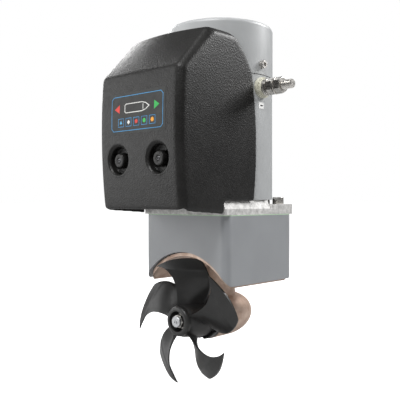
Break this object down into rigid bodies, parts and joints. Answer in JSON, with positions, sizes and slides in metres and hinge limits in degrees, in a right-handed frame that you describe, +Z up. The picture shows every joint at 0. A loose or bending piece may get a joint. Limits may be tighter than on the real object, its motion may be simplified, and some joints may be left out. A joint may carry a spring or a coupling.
{
  "type": "bow thruster",
  "caption": "Electric tunnel thruster: motor with contactor cover on a saddle block, bronze gear leg and skewed propeller below.",
  "frame": {"origin": "crossing of the motor's vertical axis and the propeller's axis, which is also the axis of the tunnel that the saddle block straddles", "axes": "+Z up along the motor's axis, -Y towards the propeller's nut, +X towards the open power terminal"},
  "size_m": [0.171, 0.196, 0.3979],
  "materials": {
    "block_paint": "satin grey paint on cast aluminium",
    "motor_paint": "satin light grey paint on steel",
    "raw_casting": "rough sand-cast aluminium",
    "pale_gasket": "pale green sheet gasket",
    "black_gasket": "black rubber",
    "bronze": "matte cast bronze",
    "zinc_steel": "bright zinc-plated steel",
    "bright_steel": "ground steel",
    "dark_steel": "dark oxide steel",
    "magnet": "dark ferrite",
    "cover_plastic": "charcoal moulded plastic with a leather grain",
    "propeller_plastic": "charcoal glass-filled plastic",
    "black_plastic": "black moulded plastic",
    "ivory_insulator": "ivory phenolic moulding",
    "label_film": "printed film",
    "white_film": "white printed film",
    "copper": "bare copper",
    "carbon": "carbon graphite",
    "laminations": "stacked electrical steel",
    "zinc_anode": "dull sacrificial zinc",
    "spider_rubber": "black elastomer"
  },
  "bodies": {
    "thruster": {"saddle_block": "block_paint", "leg_gasket": "black_gasket", "gear_leg": "bronze", "leg_bolts": "zinc_steel", "bracket_gasket": "pale_gasket", "motor_bracket": "raw_casting", "bracket_bolts": "zinc_steel", "motor_yoke": "motor_paint", "drive_end_shield": "raw_casting", "end_cap": "motor_paint", "cap_screws": "zinc_steel", "field_magnets": "magnet", "brush_ring": "raw_casting", "carbon_brushes": "carbon", "brush_springs": "bright_steel", "motor_bearing_lower": "bright_steel", "motor_bearing_upper": "bright_steel", "terminal_insulator": "ivory_insulator", "terminal_stud": "zinc_steel", "terminal_washers": "zinc_steel", "terminal_nuts": "zinc_steel", "polarity_label": "white_film", "shaft_bearing_upper": "bright_steel", "shaft_bearing_lower": "bright_steel", "shaft_seal": "black_gasket", "seal_carrier": "black_plastic", "propeller_bearing_front": "bright_steel", "propeller_bearing_nose": "bright_steel", "propeller_seal": "black_gasket", "cover_shell": "cover_plastic", "cover_label": "label_film", "cover_screws": "zinc_steel", "relay_plate": "zinc_steel", "control_box": "black_plastic", "contactor_cans": "dark_steel", "contactor_coils": "copper", "contactor_caps": "black_plastic", "contactor_clamps": "zinc_steel", "motor_terminals": "zinc_steel", "motor_terminal_insulators": "ivory_insulator", "busbars": "copper"},
    "rotor": {"motor_shaft": "bright_steel", "armature_core": "laminations", "armature_windings": "copper", "commutator": "copper", "coupling_hub_upper": "bright_steel", "coupling_spider": "spider_rubber", "coupling_hub_lower": "bright_steel", "drive_shaft": "bright_steel", "drive_pinion": "bright_steel"},
    "propeller_drive": {"driven_gear": "bright_steel", "propeller_shaft": "bright_steel", "propeller": "propeller_plastic", "drive_pin": "bright_steel", "propeller_washer": "zinc_steel", "propeller_nut": "zinc_steel", "shaft_anode": "zinc_anode"},
    "plunger_left": {"contactor_plunger_left": "bright_steel"},
    "plunger_right": {"contactor_plunger_right": "bright_steel"}
  },
  "joints": [
    {"name": "motor_spin", "type": "hinge", "parent": "thruster", "child": "rotor", "pos_m": [0, 0, 0], "axis": [0, 0, 1], "continuous": true},
    {"name": "propeller_spin", "type": "hinge", "parent": "thruster", "child": "propeller_drive", "pos_m": [0, 0, 0], "axis": [0, 1, 0], "continuous": true},
    {"name": "contactor_close_left", "type": "slide", "parent": "thruster", "child": "plunger_left", "axis": [0, 0, 1], "range_m": [0, 0.0025], "stiffness_N_per_m": 300, "springref_m": -0.01},
    {"name": "contactor_close_right", "type": "slide", "parent": "thruster", "child": "plunger_right", "axis": [0, 0, 1], "range_m": [0, 0.0025], "stiffness_N_per_m": 300, "springref_m": -0.01}
  ],
  "couplings": [
    {"joint": "propeller_spin", "follows": "motor_spin", "ratio": -0.65}
  ]
}
